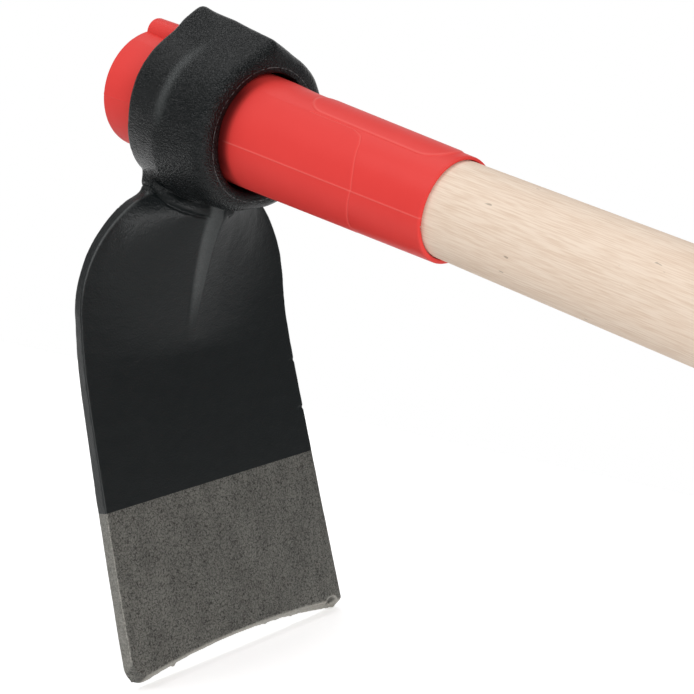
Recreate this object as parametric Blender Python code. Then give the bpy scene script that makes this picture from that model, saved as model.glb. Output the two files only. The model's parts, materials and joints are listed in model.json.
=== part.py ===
"""Garden hoe: a one-piece forged head with a peaked eye, a moulded eye sleeve and a turned handle.

Every piece is modelled in the handle's own frame: 0 is the middle of the eye's front face, +X runs
along the handle towards the user, +Z is the eye's peak and the blade hangs along -Z. A parent empty
then tips that frame so that the hoe stands on the blade's two corners and the handle's butt.
"""

import math

import bmesh
import bpy
from mathutils import Matrix, Vector

# Fits
FACE_GAP = 0.0003  # between faces that touch on the real hoe
ROUND_SEGMENTS = 64

# Handle
HANDLE_LENGTH = 1.000
HANDLE_RADIUS = 0.019
BUTT_ROUNDING = 0.006
TIP_CHAMFER = 0.0015

# Sleeve moulded on the handle's end
SLEEVE_LENGTH = 0.1765
SLEEVE_FAR_WALL = 0.0065
SLEEVE_NEAR_WALL = 0.0021
SLEEVE_BEHIND_EYE = 0.0267
SLEEVE_CAP = 0.003
SLEEVE_EDGE = 0.0008
KEY_RISE = 0.0061  # how far the key stands above the eye's bore
KEY_HALF_WIDTH = 0.0058
KEY_FRONT_LENGTH = 0.025  # how far the key reaches into the eye
KEY_ROUNDING = 0.0035
GROOVE_DEPTH = 0.0015
GROOVE_WIDTH = 0.008
GROOVE_COUNT = 3
GROOVE_PITCH = 0.045

# Eye
EYE_LENGTH = 0.047
EYE_SIDE_WALL = 0.0097
EYE_FLOOR_WALL = 0.0081
EYE_SHOULDER = 0.0195  # height above the axis where the flanks leave the sides
EYE_PEAK_FRONT_WALL = 0.0131
EYE_PEAK_BACK_WALL = 0.0175
EYE_PEAK_ROUNDING = 0.003
EYE_SHOULDER_EASE = 0.0079  # how much rounder than the bore the shoulders are
EYE_FLOOR_EASE = 0.0059  # and the two lower corners
EYE_DRAFT = 0.0008  # how much the forging swells between its two faces
EYE_RIDGE_PLACE = 0.57  # of the eye's length, from the front
EYE_FRONT_EDGE = 0.0045
EYE_BACK_EDGE = 0.0022
EYE_EDGE_STEPS = 3
MOUTH_ROUNDING = 0.004
BACK_CHAMFER = 0.0008
KEYWAY_CLEARANCE = 0.0006

# Blade
BLADE_LEAN = math.radians(25.0)
BLADE_BEND_RADIUS = 0.169
BLADE_BEND_DROP = 0.0089  # from the eye's floor down to where the sheet starts to bend
BLADE_THICKNESS = 0.0067
BLADE_INSET = 0.0007  # the neck's back is this far inside the eye's back face
BLADE_STRAIGHT_LENGTH = 0.118  # from the bend to the middle of the front edge
BLADE_SHOULDER_HALF_WIDTH = 0.0585
BLADE_EDGE_HALF_WIDTH = 0.0629
SHOULDER_RADIUS = 0.0571
SHOULDER_PLACE = 0.0444  # from the bend's top down to where the shoulders end
SHOULDER_DRAFT = 0.0018  # how much smaller the shoulders are at the back
EDGE_HOLLOW = 0.0061  # how far the edge's middle is above its corners
EDGE_BEVEL = 0.0043  # how far the back of the edge is below its front
CORNER_ROUNDING = 0.0045

# Neck, between the eye and the blade
NECK_HALF_WIDTH = 0.0236
NECK_FILLET = 0.004
NECK_HEIGHT = 0.0183
NECK_SPREAD_LENGTH = 0.068  # from the bend's top to where the thick neck has run out
NECK_INTO_EYE = 0.022
RIB_HEIGHT = 0.0032
RIB_HALF_WIDTH = 0.0045
RIB_LENGTH = 0.062

BLADE_COLUMNS = 40
NECK_ROWS = 3
FILLET_ROWS = 4
SHOULDER_ROWS = 11
STRAIGHT_ROWS = 10

EYE_BACK = -EYE_LENGTH
SLEEVE_FAR = EYE_BACK - SLEEVE_BEHIND_EYE
SLEEVE_NEAR = SLEEVE_FAR + SLEEVE_LENGTH
SLEEVE_FAR_RADIUS = HANDLE_RADIUS + SLEEVE_FAR_WALL
SLEEVE_NEAR_RADIUS = HANDLE_RADIUS + SLEEVE_NEAR_WALL
SLEEVE_TAPER = (SLEEVE_FAR_RADIUS - SLEEVE_NEAR_RADIUS) / SLEEVE_LENGTH
BORE_RADIUS = SLEEVE_FAR_RADIUS - SLEEVE_TAPER * SLEEVE_BEHIND_EYE + FACE_GAP
KEY_TOP = BORE_RADIUS + KEY_RISE
EYE_HALF_WIDTH = BORE_RADIUS + EYE_SIDE_WALL
EYE_FLOOR = BORE_RADIUS + EYE_FLOOR_WALL
EYE_PEAK_FRONT = BORE_RADIUS + EYE_PEAK_FRONT_WALL
EYE_PEAK_BACK = BORE_RADIUS + EYE_PEAK_BACK_WALL
EYE_SHOULDER_ROUNDING = BORE_RADIUS + EYE_SHOULDER_EASE
EYE_FLOOR_ROUNDING = BORE_RADIUS + EYE_FLOOR_EASE
BLADE_BEND_TOP = EYE_FLOOR + BLADE_BEND_DROP
HANDLE_TIP = SLEEVE_FAR + SLEEVE_CAP + FACE_GAP
HANDLE_BUTT = HANDLE_TIP + HANDLE_LENGTH


def clear_scene():
    for obj in list(bpy.data.objects):
        bpy.data.objects.remove(obj, do_unlink=True)


def material(name, colour, roughness, metallic):
    made = bpy.data.materials.new(name)
    made.use_nodes = True
    shader = made.node_tree.nodes["Principled BSDF"]
    shader.inputs["Base Color"].default_value = (*colour, 1.0)
    shader.inputs["Roughness"].default_value = roughness
    shader.inputs["Metallic"].default_value = metallic
    return made


def add_object(name, bm, finish, parent):
    bmesh.ops.recalc_face_normals(bm, faces=bm.faces)
    mesh = bpy.data.meshes.new(name)
    bm.to_mesh(mesh)
    bm.free()
    mesh.materials.append(finish)
    mesh.shade_smooth()
    mesh.set_sharp_from_angle(angle=math.radians(35))
    made = bpy.data.objects.new(name, mesh)
    bpy.context.scene.collection.objects.link(made)
    made.parent = parent
    return made


def add_helper(name, bm, finish, parent):
    made = add_object(name, bm, finish, parent)
    made.hide_render = True
    made.display_type = "WIRE"
    return made


def add_boolean(target, helper, operation):
    modifier = target.modifiers.new(helper.name, "BOOLEAN")
    modifier.operation = operation
    modifier.object = helper
    modifier.solver = "EXACT"


def turned(profile):
    """A closed solid turned about the handle's axis from (place along the axis, radius) points."""
    bm = bmesh.new()
    points = [bm.verts.new((along, 0.0, radius)) for along, radius in profile]
    edges = [bm.edges.new(pair) for pair in zip(points, points[1:])]
    bmesh.ops.spin(
        bm,
        geom=points + edges,
        cent=(0.0, 0.0, 0.0),
        axis=(1.0, 0.0, 0.0),
        angle=math.tau,
        steps=ROUND_SEGMENTS,
        use_merge=True,
    )
    bmesh.ops.remove_doubles(bm, verts=bm.verts, dist=1e-6)
    return bm


def arc(centre, radius, start, end, steps):
    """Points on an arc, both ends included, angles in radians."""
    turn = (end - start) / steps
    return [
        (
            centre[0] + radius * math.cos(start + turn * step),
            centre[1] + radius * math.sin(start + turn * step),
        )
        for step in range(steps + 1)
    ]


def rounded_outline(corners, steps):
    """A closed outline from (y, z, rounding) corners, each corner rounded by an arc."""
    outline = []
    for index, (y, z, rounding) in enumerate(corners):
        here = Vector((y, z))
        before = Vector(corners[index - 1][:2]) - here
        after = Vector(corners[(index + 1) % len(corners)][:2]) - here
        half = before.angle(after) / 2
        reach = rounding / math.tan(half)
        inward = (before.normalized() + after.normalized()).normalized()
        centre = here + inward * (rounding / math.sin(half))
        first = here + before.normalized() * reach - centre
        last = here + after.normalized() * reach - centre
        sweep = first.angle_signed(last)
        for step in range(steps + 1):
            turned_by = Matrix.Rotation(-sweep * step / steps, 2)
            outline.append(centre + turned_by @ first)
    return outline


def sleeve_radius(along):
    return SLEEVE_FAR_RADIUS - SLEEVE_TAPER * (along - SLEEVE_FAR)


def groove_places():
    """Middle of each retaining groove along the handle."""
    first = SLEEVE_FAR + SLEEVE_CAP + GROOVE_PITCH / 2 + GROOVE_WIDTH
    return [first + GROOVE_PITCH * index for index in range(GROOVE_COUNT)]


def handle_profile():
    profile = [
        (HANDLE_TIP, 0.0),
        (HANDLE_TIP, HANDLE_RADIUS - TIP_CHAMFER),
        (HANDLE_TIP + TIP_CHAMFER, HANDLE_RADIUS),
    ]
    for middle in groove_places():
        start = middle - GROOVE_WIDTH / 2
        end = middle + GROOVE_WIDTH / 2
        floor = HANDLE_RADIUS - GROOVE_DEPTH
        profile += [(start, HANDLE_RADIUS), (start, floor), (end, floor), (end, HANDLE_RADIUS)]
    centre = (HANDLE_BUTT - BUTT_ROUNDING, HANDLE_RADIUS - BUTT_ROUNDING)
    profile += arc(centre, BUTT_ROUNDING, math.pi / 2, 0.0, 6)
    profile.append((HANDLE_BUTT, 0.0))
    return profile


def make_handle(finish, parent):
    return add_object("handle", turned(handle_profile()), finish, parent)


def sleeve_profile():
    """Outside from the far cap to the near rim, then back along the socket that the handle fills."""
    socket = HANDLE_RADIUS + FACE_GAP
    socket_floor = SLEEVE_FAR + SLEEVE_CAP
    profile = [
        (SLEEVE_FAR, 0.0),
        (SLEEVE_FAR, sleeve_radius(SLEEVE_FAR) - SLEEVE_EDGE),
        (SLEEVE_FAR + SLEEVE_EDGE, sleeve_radius(SLEEVE_FAR + SLEEVE_EDGE)),
        (SLEEVE_NEAR - SLEEVE_EDGE, sleeve_radius(SLEEVE_NEAR - SLEEVE_EDGE)),
        (SLEEVE_NEAR, sleeve_radius(SLEEVE_NEAR) - SLEEVE_EDGE),
        (SLEEVE_NEAR, socket),
    ]
    for middle in reversed(groove_places()):
        start = middle + GROOVE_WIDTH / 2 - FACE_GAP
        end = middle - GROOVE_WIDTH / 2 + FACE_GAP
        crest = socket - GROOVE_DEPTH
        profile += [(start, socket), (start, crest), (end, crest), (end, socket)]
    profile += [(socket_floor, socket), (socket_floor, 0.0)]
    return profile


def key_block(front, half_width, top, rounding, back):
    """A bar with a rounded top along the peak, from back to front, its foot sunk in what it joins."""
    foot = HANDLE_RADIUS + (sleeve_radius(0.0) - HANDLE_RADIUS) / 2
    bm = bmesh.new()
    outline = rounded_outline(
        [
            (-half_width, foot, rounding / 10),
            (half_width, foot, rounding / 10),
            (half_width, top, rounding),
            (-half_width, top, rounding),
        ],
        4,
    )
    face = bm.faces.new([bm.verts.new((back, y, z)) for y, z in outline])
    extruded = bmesh.ops.extrude_face_region(bm, geom=[face])["geom"]
    moved = [item for item in extruded if isinstance(item, bmesh.types.BMVert)]
    bmesh.ops.translate(bm, vec=(front - back, 0.0, 0.0), verts=moved)
    return bm


def make_sleeve(finish, parent):
    sleeve = add_object("eye_sleeve", turned(sleeve_profile()), finish, parent)
    key_front = EYE_BACK + KEY_FRONT_LENGTH
    key_back = SLEEVE_FAR + SLEEVE_EDGE
    block = key_block(key_front, KEY_HALF_WIDTH, KEY_TOP, KEY_ROUNDING, key_back)
    add_boolean(sleeve, add_helper("sleeve_key", block, finish, parent), "UNION")
    return sleeve


def eye_corners(along, inset):
    """The eye's outline at a place along it, moved inwards by inset to round the edge of a face."""
    share = -along / EYE_LENGTH
    swell = EYE_DRAFT * min(share / EYE_RIDGE_PLACE, (1.0 - share) / (1.0 - EYE_RIDGE_PLACE))
    peak = EYE_PEAK_FRONT + (EYE_PEAK_BACK - EYE_PEAK_FRONT) * share + swell
    slope = math.atan2(peak - EYE_SHOULDER, EYE_HALF_WIDTH)
    side = EYE_HALF_WIDTH + swell - inset
    floor = EYE_FLOOR + swell / 2 - inset
    top = peak - inset / math.cos(slope)
    shoulder = top - side * math.tan(slope)
    peak_rounding = max(EYE_PEAK_ROUNDING - inset, FACE_GAP)
    return [
        (0.0, top, peak_rounding),
        (side, shoulder, EYE_SHOULDER_ROUNDING - inset),
        (side, -floor, EYE_FLOOR_ROUNDING - inset),
        (-side, -floor, EYE_FLOOR_ROUNDING - inset),
        (-side, shoulder, EYE_SHOULDER_ROUNDING - inset),
    ]


def eye_sections():
    """(place along, inset) from the back face to the front face, with both faces' edges rounded."""
    quarter = math.pi / 2
    turns = [quarter * step / EYE_EDGE_STEPS for step in range(EYE_EDGE_STEPS + 1)]
    back = [
        (EYE_BACK + EYE_BACK_EDGE * (1.0 - math.sin(turn)), EYE_BACK_EDGE * (1.0 - math.cos(turn)))
        for turn in reversed(turns)
    ]
    front = [
        (-EYE_FRONT_EDGE * (1.0 - math.sin(turn)), EYE_FRONT_EDGE * (1.0 - math.cos(turn)))
        for turn in turns
    ]
    return [*back, (-EYE_RIDGE_PLACE * EYE_LENGTH, 0.0), *front]


def eye_blank(finish, parent):
    """The eye without its bore: rounded sections from back to front, swollen by the forging's draft."""
    bm = bmesh.new()
    loops = []
    for along, inset in eye_sections():
        outline = rounded_outline(eye_corners(along, inset), 8)
        ring = [bm.verts.new((along, y, z)) for y, z in outline]
        loops.append([bm.edges.new(pair) for pair in zip(ring, ring[1:] + ring[:1])])
    for first, second in zip(loops, loops[1:]):
        bmesh.ops.bridge_loops(bm, edges=first + second)
    ends = [edge for loop in (loops[0], loops[-1]) for edge in loop]
    bmesh.ops.holes_fill(bm, edges=ends, sides=0)
    return add_helper("eye_blank", bm, finish, parent)


def bore_cutter(finish, parent):
    """Cuts the round bore, widened at the mouth and eased at the back, where the sleeve jams."""
    beyond = EYE_LENGTH / 4
    mouth_centre = (-MOUTH_ROUNDING, BORE_RADIUS + MOUTH_ROUNDING)
    mouth = arc(mouth_centre, MOUTH_ROUNDING, -math.pi / 2, 0.0, 5)
    profile = [
        (EYE_BACK - beyond, 0.0),
        (EYE_BACK - beyond, BORE_RADIUS + BACK_CHAMFER),
        (EYE_BACK, BORE_RADIUS + BACK_CHAMFER),
        (EYE_BACK + BACK_CHAMFER, BORE_RADIUS),
        *mouth,
        (beyond, BORE_RADIUS + MOUTH_ROUNDING),
        (beyond, 0.0),
    ]
    return add_helper("eye_bore", turned(profile), finish, parent)


def keyway_cutter(finish, parent):
    """Cuts the peak's keyway, open at the back, one clearance larger than the sleeve's key."""
    front = EYE_BACK + KEY_FRONT_LENGTH + KEYWAY_CLEARANCE
    half_width = KEY_HALF_WIDTH + KEYWAY_CLEARANCE
    top = KEY_TOP + KEYWAY_CLEARANCE
    block = key_block(front, half_width, top, KEY_ROUNDING, EYE_BACK - EYE_LENGTH / 4)
    return add_helper("eye_keyway", block, finish, parent)


def outline_rows(draft):
    """(distance down from the bend's top, half width) down to where the straight sides start."""
    radius = SHOULDER_RADIUS - draft
    fillet_centre = NECK_HALF_WIDTH + NECK_FILLET
    shoulder_centre = BLADE_SHOULDER_HALF_WIDTH - SHOULDER_RADIUS
    across = fillet_centre - shoulder_centre
    reach = radius + NECK_FILLET
    meet = math.asin(across / reach)
    fillet_place = SHOULDER_PLACE - math.sqrt(reach**2 - across**2)
    neck_length = fillet_place + NECK_INTO_EYE
    rows = []
    for row in range(NECK_ROWS):
        rows.append((-NECK_INTO_EYE + neck_length * row / NECK_ROWS, NECK_HALF_WIDTH))
    for row in range(FILLET_ROWS):
        angle = (math.pi / 2 - meet) * row / FILLET_ROWS
        down = fillet_place + NECK_FILLET * math.sin(angle)
        rows.append((down, fillet_centre - NECK_FILLET * math.cos(angle)))
    for row in range(SHOULDER_ROWS + 1):
        angle = meet + (math.pi / 2 - meet) * row / SHOULDER_ROWS
        down = SHOULDER_PLACE - radius * math.cos(angle)
        rows.append((down, shoulder_centre + radius * math.sin(angle)))
    return rows


def sheet_frame(down):
    """Point and front normal, in x and z, of the blade's front sheet at a distance down it."""
    bend_length = BLADE_BEND_RADIUS * BLADE_LEAN
    angle = min(max(down, 0.0) / BLADE_BEND_RADIUS, BLADE_LEAN)
    extra = down if down < 0.0 else max(down - bend_length, 0.0)
    x = EYE_BACK + BLADE_INSET + BLADE_THICKNESS
    x += BLADE_BEND_RADIUS * (1.0 - math.cos(angle)) + extra * math.sin(angle)
    z = -BLADE_BEND_TOP - BLADE_BEND_RADIUS * math.sin(angle) - extra * math.cos(angle)
    return Vector((x, 0.0, z)), Vector((math.cos(angle), 0.0, math.sin(angle)))


def edge_place(across, behind):
    """Distance down to the cutting edge: hollow in the middle, rounded at the two corners."""
    straight_end = BLADE_BEND_RADIUS * BLADE_LEAN + BLADE_STRAIGHT_LENGTH
    place = straight_end + EDGE_HOLLOW * across**2 + (EDGE_BEVEL if behind else 0.0)
    into_corner = abs(across) * BLADE_EDGE_HALF_WIDTH - (BLADE_EDGE_HALF_WIDTH - CORNER_ROUNDING)
    if into_corner > 0.0:
        place -= CORNER_ROUNDING - math.sqrt(max(CORNER_ROUNDING**2 - into_corner**2, 0.0))
    return place


def neck_swell(down, across):
    """How far the thick neck, spreading out over the blade, stands in front of the sheet."""
    share = min(max(down / NECK_SPREAD_LENGTH, 0.0), 1.0)
    crown = NECK_HEIGHT * (1.0 - share) * (1.0 - share**6)
    return crown * max(1.0 - across**2, 0.0) ** (1.0 + share)


def rib_swell(down, offset):
    share = min(max(down / RIB_LENGTH, 0.0), 1.0)
    return RIB_HEIGHT * (1.0 - share**3) * max(1.0 - abs(offset) / RIB_HALF_WIDTH, 0.0)


def blade_point(rows, row, along_row, behind):
    """A point of the blade's front or back: row from the neck down, along_row from -1 to 1."""
    across = along_row * (1.5 - 0.5 * along_row**2)
    if row < len(rows):
        down, half_width = rows[row]
    else:
        start, straight_width = rows[-1]
        share = (row - len(rows) + 1) / STRAIGHT_ROWS
        down = start + (edge_place(across, behind) - start) * share
        half_width = straight_width + (BLADE_EDGE_HALF_WIDTH - straight_width) * share
    point, normal = sheet_frame(down)
    height = -BLADE_THICKNESS
    if not behind:
        height = neck_swell(down, across) + rib_swell(down, across * half_width)
    return point + normal * height + Vector((0.0, across * half_width, 0.0))


def make_blade(finish, parent):
    """The neck and blade: a grid laid over the front sheet, then thickened to the back."""
    front_rows = outline_rows(0.0)
    back_rows = outline_rows(SHOULDER_DRAFT)
    last_row = len(front_rows) + STRAIGHT_ROWS - 1
    bm = bmesh.new()
    bmesh.ops.create_grid(bm, x_segments=BLADE_COLUMNS, y_segments=last_row, size=1.0)
    front = list(bm.verts)
    extruded = bmesh.ops.extrude_face_region(bm, geom=list(bm.faces))["geom"]
    back = [item for item in extruded if isinstance(item, bmesh.types.BMVert)]
    for verts, rows, behind in ((front, front_rows, False), (back, back_rows, True)):
        for vert in verts:
            row = round((1.0 - vert.co.y) / 2.0 * last_row)
            vert.co = blade_point(rows, row, vert.co.x, behind)
    return add_object("forged_head", bm, finish, parent)


def make_head(finish, parent):
    head = make_blade(finish, parent)
    add_boolean(head, eye_blank(finish, parent), "UNION")
    add_boolean(head, bore_cutter(finish, parent), "DIFFERENCE")
    add_boolean(head, keyway_cutter(finish, parent), "DIFFERENCE")
    return head


def add_empty(name, parent=None):
    made = bpy.data.objects.new(name, None)
    bpy.context.scene.collection.objects.link(made)
    made.parent = parent
    return made


def stand_on_floor(stance, pieces):
    """Tips the frame so that the blade's corners and the butt reach the floor, the box over 0, 0."""
    bend_length = BLADE_BEND_RADIUS * BLADE_LEAN
    corner, normal = sheet_frame(bend_length + BLADE_STRAIGHT_LENGTH + EDGE_HOLLOW + EDGE_BEVEL)
    corner = corner - normal * BLADE_THICKNESS
    butt = Vector((HANDLE_BUTT - BUTT_ROUNDING, 0.0, -HANDLE_RADIUS))
    run = butt - corner
    stance.rotation_euler = (0.0, math.atan2(run.z, run.x), 0.0)
    bpy.context.view_layer.update()
    graph = bpy.context.evaluated_depsgraph_get()
    points = []
    for piece in pieces:
        evaluated = piece.evaluated_get(graph)
        points += [evaluated.matrix_world @ vert.co for vert in evaluated.data.vertices]
    low = [min(point[axis] for point in points) for axis in range(3)]
    high = [max(point[axis] for point in points) for axis in range(3)]
    stance.location = (-(low[0] + high[0]) / 2, -(low[1] + high[1]) / 2, -low[2])
    bpy.context.view_layer.update()


def main():
    clear_scene()
    steel = material("lacquered_forged_steel", (0.013, 0.015, 0.018), 0.38, 0.0)
    plastic = material("red_moulded_plastic", (0.76, 0.032, 0.035), 0.42, 0.0)
    wood = material("pale_beech", (0.76, 0.62, 0.47), 0.6, 0.0)
    stance = add_empty("stance")
    head_slide = add_empty("head_slide", stance)
    handle = make_handle(wood, stance)
    sleeve = make_sleeve(plastic, stance)
    head = make_head(steel, head_slide)
    stand_on_floor(stance, [handle, sleeve, head])


main()
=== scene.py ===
import json
import math

import bmesh
import bpy
import numpy as np
from mathutils import Euler, Matrix, Vector, noise


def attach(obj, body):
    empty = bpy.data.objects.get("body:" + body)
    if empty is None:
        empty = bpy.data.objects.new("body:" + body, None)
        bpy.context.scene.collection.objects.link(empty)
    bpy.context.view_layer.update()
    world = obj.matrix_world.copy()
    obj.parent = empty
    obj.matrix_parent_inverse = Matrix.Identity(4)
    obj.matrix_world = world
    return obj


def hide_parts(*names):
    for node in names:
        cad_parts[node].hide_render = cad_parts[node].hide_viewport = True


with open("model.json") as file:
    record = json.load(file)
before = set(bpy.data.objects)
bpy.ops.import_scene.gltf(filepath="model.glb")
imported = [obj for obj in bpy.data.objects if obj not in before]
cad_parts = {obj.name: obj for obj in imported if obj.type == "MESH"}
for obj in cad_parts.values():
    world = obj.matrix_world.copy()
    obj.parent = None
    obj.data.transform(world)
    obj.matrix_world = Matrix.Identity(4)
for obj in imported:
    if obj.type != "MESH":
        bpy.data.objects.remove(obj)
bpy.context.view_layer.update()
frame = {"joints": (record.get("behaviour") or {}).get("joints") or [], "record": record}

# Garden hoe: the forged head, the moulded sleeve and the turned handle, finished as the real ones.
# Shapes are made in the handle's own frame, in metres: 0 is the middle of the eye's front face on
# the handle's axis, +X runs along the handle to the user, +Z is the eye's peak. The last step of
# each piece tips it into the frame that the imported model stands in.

# Where the handle's own frame stands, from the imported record
HANDLE_DIRECTION = Vector(frame["joints"][0]["axis"])
TILT = math.asin(-HANDLE_DIRECTION.z)
SLEEVE_FAR = -0.0737
SLEEVE_END = Vector(
    next(m["pos_m"] for m in frame["record"]["mounts"] if m["name"] == "sleeve_end")
)
STANCE = Matrix.Translation(SLEEVE_END - HANDLE_DIRECTION * SLEEVE_FAR) @ Matrix.Rotation(TILT, 4, "Y")

# Handle
FACE_GAP = 0.0003
HANDLE_LENGTH = 1.000
HANDLE_RADIUS = 0.019
BUTT_ROUNDING = 0.006
BUTT_INNER_RADIUS = 0.006  # a ring on the butt's flat face
TIP_CHAMFER = 0.0015
TURNED_STEPS = 160
HANDLE_RINGS = 60
SHARP_ANGLE = math.radians(35)  # creases of turned pieces stay sharp past it

# Sleeve
SLEEVE_LENGTH = 0.1765
SLEEVE_FAR_RADIUS = HANDLE_RADIUS + 0.0065
SLEEVE_NEAR_RADIUS = HANDLE_RADIUS + 0.0021
SLEEVE_CAP = 0.003
SLEEVE_NEAR = SLEEVE_FAR + SLEEVE_LENGTH
SLEEVE_TAPER = (SLEEVE_FAR_RADIUS - SLEEVE_NEAR_RADIUS) / SLEEVE_LENGTH
CAP_ROUNDING = 0.0007
RIM_CHAMFER = 0.0007
SOCKET_CHAMFER = 0.0003
RIM_TEAR = 0.0009
RIM_TEAR_ANGLE = 101.0  # degrees from the top line
SLEEVE_STEPS = 320
KEY_RISE = 0.0061
KEY_HALF_WIDTH = 0.0058
KEY_FRONT_LENGTH = 0.025
KEY_FAR_INSET = 0.0008  # the bar stops that short of the sleeve's far end
KEY_SINK = 0.0004  # and its top sinks that much outside the eye
KEY_ROUNDING = 0.0055
KEY_CORNER_STEPS = 8

# Eye
EYE_LENGTH = 0.047
EYE_BACK = -EYE_LENGTH
BORE_RADIUS = SLEEVE_FAR_RADIUS + SLEEVE_TAPER * (SLEEVE_FAR - EYE_BACK) + FACE_GAP
KEY_TOP = BORE_RADIUS + KEY_RISE
EYE_HALF_WIDTH = BORE_RADIUS + 0.0097
EYE_FLOOR = BORE_RADIUS + 0.0081
EYE_SHOULDER = 0.0195
EYE_PEAK_FRONT = BORE_RADIUS + 0.0131
EYE_PEAK_BACK = BORE_RADIUS + 0.0171
EYE_PEAK_ROUNDING = 0.003
EYE_SHOULDER_ROUNDING = BORE_RADIUS + 0.0079
EYE_FLOOR_ROUNDING = BORE_RADIUS + 0.0049
EYE_DRAFT = 0.0022
EYE_RIDGE_PLACE = 0.57
EYE_RIDGE_X = -EYE_RIDGE_PLACE * EYE_LENGTH
EYE_FRONT_EDGE = 0.0045
EYE_BACK_EDGE = 0.0022
EYE_EDGE_STEPS = 6
EYE_CORNER_STEPS = 14
CUTTER_REACH = EYE_LENGTH / 4  # how far the cutters stand out of the eye
MOUTH_DEPTH = 0.0012
MOUTH_LOW_DEPTH = 0.0035  # the mouth is rounded deeper along its lower side
MOUTH_WIDTH = 0.0038
MOUTH_STEPS = 12
# radius of the painted highlight line on the burr round the mouth
MOUTH_BURR_RADIUS = 0.0283
BACK_CHAMFER = 0.0008
KEYWAY_CLEARANCE = 0.0006

# Blade and neck
BLADE_LEAN = math.radians(25.0)
BLADE_BEND_RADIUS = 0.169
BLADE_BEND_TOP = EYE_FLOOR + 0.0089
BLADE_BEND_LENGTH = BLADE_BEND_RADIUS * BLADE_LEAN
BEND_EASE = 0.020
BEND_STEP = 0.0002
SHEET_REACH = 0.230  # the bend is worked out that far down, past the blade's end
BLADE_THICKNESS = 0.0067
BLADE_INSET = 0.0007
BLADE_STRAIGHT_LENGTH = 0.118
BLADE_SHOULDER_HALF_WIDTH = 0.0588
BLADE_EDGE_HALF_WIDTH = 0.0631
BLADE_END = BLADE_BEND_LENGTH + BLADE_STRAIGHT_LENGTH + 0.0050  # on the back, in the middle
BLADE_WEAR = 0.0006  # rounding of the blade's edges
LEFT_BOW = 0.0009  # the blade's left side swells a little in the middle
RIGHT_STEP = 0.0006  # the blade's right side stands a little further out
RIGHT_FLARE = 0.0010  # and most at its lower corner
BOW_RISE = 0.010  # all of that starts softly, while the sheet grows so much wider than the neck
SHOULDER_RADIUS = 0.0571
SHOULDER_PLACE = 0.0444
SHOULDER_DRAFT = 0.0018
EDGE_HOLLOW = 0.0063
EDGE_BEVEL = 0.0027
EDGE_FLARE = 0.0017
LEFT_CORNER_ROUNDING = 0.0112
RIGHT_CORNER_ROUNDING = 0.0020
NECK_HALF_WIDTH = 0.0240
NECK_FILLET = 0.004
NECK_HEIGHT = 0.0183
NECK_SPREAD_LENGTH = 0.068
NECK_INTO_EYE = 0.022
RIB_HEIGHT = 0.0032
RIB_HALF_WIDTH = 0.0045
RIB_FLAT_SIDE = 0.0150
RIB_LENGTH = 0.062
RIB_CREST_WEAR = 0.0003
SEAM_REACH = 0.0095  # how far round the joint of eye and neck the forging is rounded
SEAM_PASSES = 70
FOLD_LIP = 0.0015
FOLD_LINE = (  # distances from the middle, and the height of the fold under the neck at each
    (0.0, 0.0040, 0.0100, 0.0165, 0.0205, 0.0225, 0.0240),
    (-0.0427, -0.0424, -0.0412, -0.0392, -0.0374, -0.0345, -0.0320),
)
PIT_SIDE = 0.0575
PIT_DOWN = BLADE_END + EDGE_HOLLOW - 0.0052
PEAK_HUMP = 0.0012  # the tip that the dies left at the peak's back end, on its left
PEAK_HUMP_RADIUS = 0.0048
PEAK_HUMPS = ((-0.0030, 0.0020), (-0.0095, 0.0050))  # (across, drop below the peak)
CUT_BURRS = ((-0.0370, 0.0009), (0.0193, 0.0006), (0.0356, 0.0004))  # (across, rise)
SIDE_NICKS = ((0.081, 0.0004), (0.104, 0.0005))  # (down the right side, depth)
PAINT_END = 0.1250  # from the bend's top down the sheet to where the lacquer ends
BLADE_COLUMNS = 110
NECK_ROWS = 12
FILLET_ROWS = 8
SHOULDER_ROWS = 44
STRAIGHT_ROWS = 70
FORGED_VOXEL = 0.0006
FIT_REACH = 0.0012
SLOPE_STEP = 0.0001  # over which the slope of a distance is measured
HEAD_FACES = 185000  # triangles left on the head

# The blade hangs straight down in this frame, so that its flat faces lie along the voxels
UPRIGHT = Matrix.Rotation(BLADE_LEAN, 4, "Y")


# Mesh helpers


def add_object(name, data):
    made = bpy.data.objects.new(name, data)
    bpy.context.scene.collection.objects.link(made)
    return made


def add_piece(name, bm, place):
    """A mesh object made of bm, moved by place, its faces turned outwards."""
    bmesh.ops.transform(bm, matrix=place, verts=bm.verts)
    bmesh.ops.recalc_face_normals(bm, faces=bm.faces)
    mesh = bpy.data.meshes.new(name)
    bm.to_mesh(mesh)
    bm.free()
    return add_object(name, mesh)


def add_modifier(piece, kind, **settings):
    made = piece.modifiers.new(kind.lower(), kind)
    for name, value in settings.items():
        setattr(made, name, value)


def settle_modifiers(piece, helpers=()):
    """Makes the modifiers' result the piece's own mesh, and removes the helpers."""
    bpy.context.view_layer.update()
    graph = bpy.context.evaluated_depsgraph_get()
    settled = bpy.data.meshes.new_from_object(piece.evaluated_get(graph))
    piece.modifiers.clear()
    piece.data = settled
    for helper in helpers:
        bpy.data.objects.remove(helper, do_unlink=True)


def add_layer(piece, name, values):
    """Stores a number at each of the piece's points, for its material to read."""
    layer = piece.data.attributes.new(name, "FLOAT", "POINT")
    layer.data.foreach_set("value", values.astype(np.float32))


def turned(profile, steps):
    """A closed solid turned about the handle's axis from (place along the axis, radius) points."""
    bm = bmesh.new()
    points = [bm.verts.new((along, 0.0, radius)) for along, radius in profile]
    edges = [bm.edges.new(pair) for pair in zip(points, points[1:])]
    bmesh.ops.spin(
        bm,
        geom=points + edges,
        cent=(0.0, 0.0, 0.0),
        axis=(1.0, 0.0, 0.0),
        angle=math.tau,
        steps=steps,
        use_merge=True,
    )
    bmesh.ops.remove_doubles(bm, verts=bm.verts, dist=1e-6)
    return bm


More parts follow.
